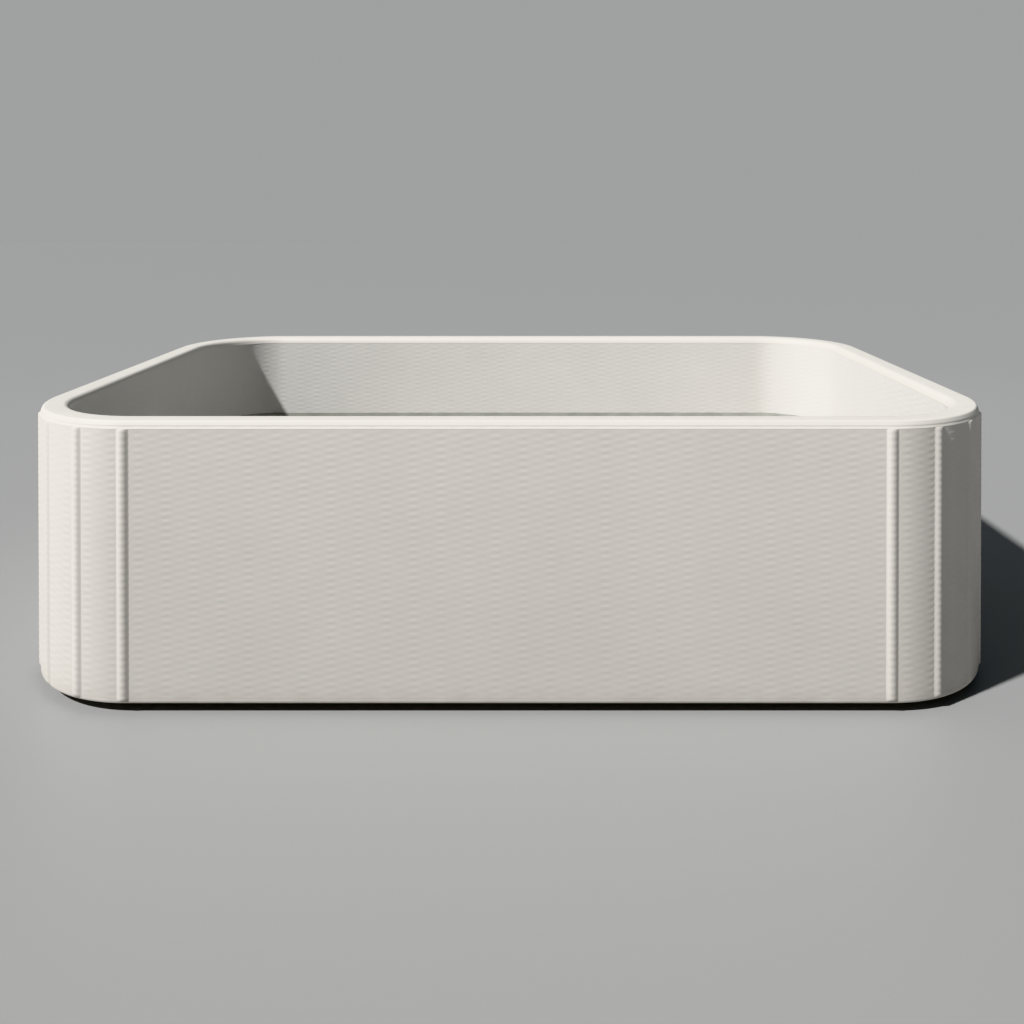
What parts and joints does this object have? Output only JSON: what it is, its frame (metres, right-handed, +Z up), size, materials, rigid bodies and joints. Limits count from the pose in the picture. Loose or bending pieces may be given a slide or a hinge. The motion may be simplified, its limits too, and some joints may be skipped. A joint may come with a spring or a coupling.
{
  "type": "float tub",
  "caption": "Open rectangular float tub with rounded corners, inflated drop-stitch walls and floor, low rounded corner strips, a rounded rim, an inflation valve and a lever drain.",
  "frame": {"origin": "middle of the ground pad's underside, on the floor that the tub stands on", "axes": "+X along the tub's length, +Y towards the back wall that holds the valve and the drain, +Z up"},
  "size_m": [2.3126, 1.5909, 0.652],
  "materials": {
    "skin": "coated fabric with a drop-stitch relief",
    "rim": "smooth coated fabric",
    "strip": "coated fabric, welded over the seam",
    "thread": "polyester thread",
    "foam": "closed-cell foam",
    "tape": "matte",
    "seal": "matte",
    "fitting": "moulded plastic",
    "steel": "satin",
    "lever": "moulded plastic"
  },
  "bodies": {
    "tub": {"outer_skin": "skin", "inner_skin": "skin", "rim_cap": "rim", "bottom_band": "skin", "corner_strip_back_right_1": "strip", "corner_strip_back_right_2": "strip", "corner_strip_back_right_3": "strip", "corner_strip_back_right_4": "strip", "corner_strip_back_right_5": "strip", "corner_strip_back_left_1": "strip", "corner_strip_back_left_2": "strip", "corner_strip_back_left_3": "strip", "corner_strip_back_left_4": "strip", "corner_strip_back_left_5": "strip", "corner_strip_front_left_1": "strip", "corner_strip_front_left_2": "strip", "corner_strip_front_left_3": "strip", "corner_strip_front_left_4": "strip", "corner_strip_front_left_5": "strip", "corner_strip_front_right_1": "strip", "corner_strip_front_right_2": "strip", "corner_strip_front_right_3": "strip", "corner_strip_front_right_4": "strip", "corner_strip_front_right_5": "strip", "thread_web_front": "thread", "thread_web_back": "thread", "thread_web_left": "thread", "thread_web_right": "thread", "thread_web_back_right_1": "thread", "thread_web_back_right_2": "thread", "thread_web_back_left_1": "thread", "thread_web_back_left_2": "thread", "thread_web_front_left_1": "thread", "thread_web_front_left_2": "thread", "thread_web_front_right_1": "thread", "thread_web_front_right_2": "thread", "fill_level_tape": "tape", "floor_top_skin": "skin", "floor_thread_web": "thread", "floor_bottom_skin": "skin", "ground_pad": "foam", "valve_body": "fitting", "valve_gasket": "seal", "valve_back_nut": "fitting", "valve_spring": "steel", "drain_tube": "fitting", "drain_gasket": "seal", "drain_sleeve": "skin", "drain_washer": "seal", "drain_nut": "fitting", "drain_strainer": "fitting", "drain_valve_body": "fitting"},
    "drain_lever": {"drain_ball": "steel", "drain_lever": "lever", "drain_lever_nut": "steel"},
    "drain_cap": {"drain_cap": "fitting"},
    "valve_cap": {"valve_cap": "fitting"},
    "valve_poppet": {"valve_poppet": "fitting"}
  },
  "joints": [
    {"name": "drain_lever_turn", "type": "hinge", "parent": "tub", "child": "drain_lever", "pos_m": [0.705, 0.792, 0.168], "axis": [0, 0, 1], "range_deg": [0, 90]},
    {"name": "drain_cap_pull", "type": "slide", "parent": "tub", "child": "drain_cap", "axis": [0, 1, 0], "range_m": [0, 0.03]},
    {"name": "valve_cap_pull", "type": "slide", "parent": "tub", "child": "valve_cap", "axis": [0, 1, 0], "range_m": [0, 0.03]},
    {"name": "valve_poppet_press", "type": "slide", "parent": "tub", "child": "valve_poppet", "axis": [0, -1, 0], "range_m": [0, 0.006], "stiffness_N_per_m": 600, "deforming": ["valve_spring"]}
  ]
}
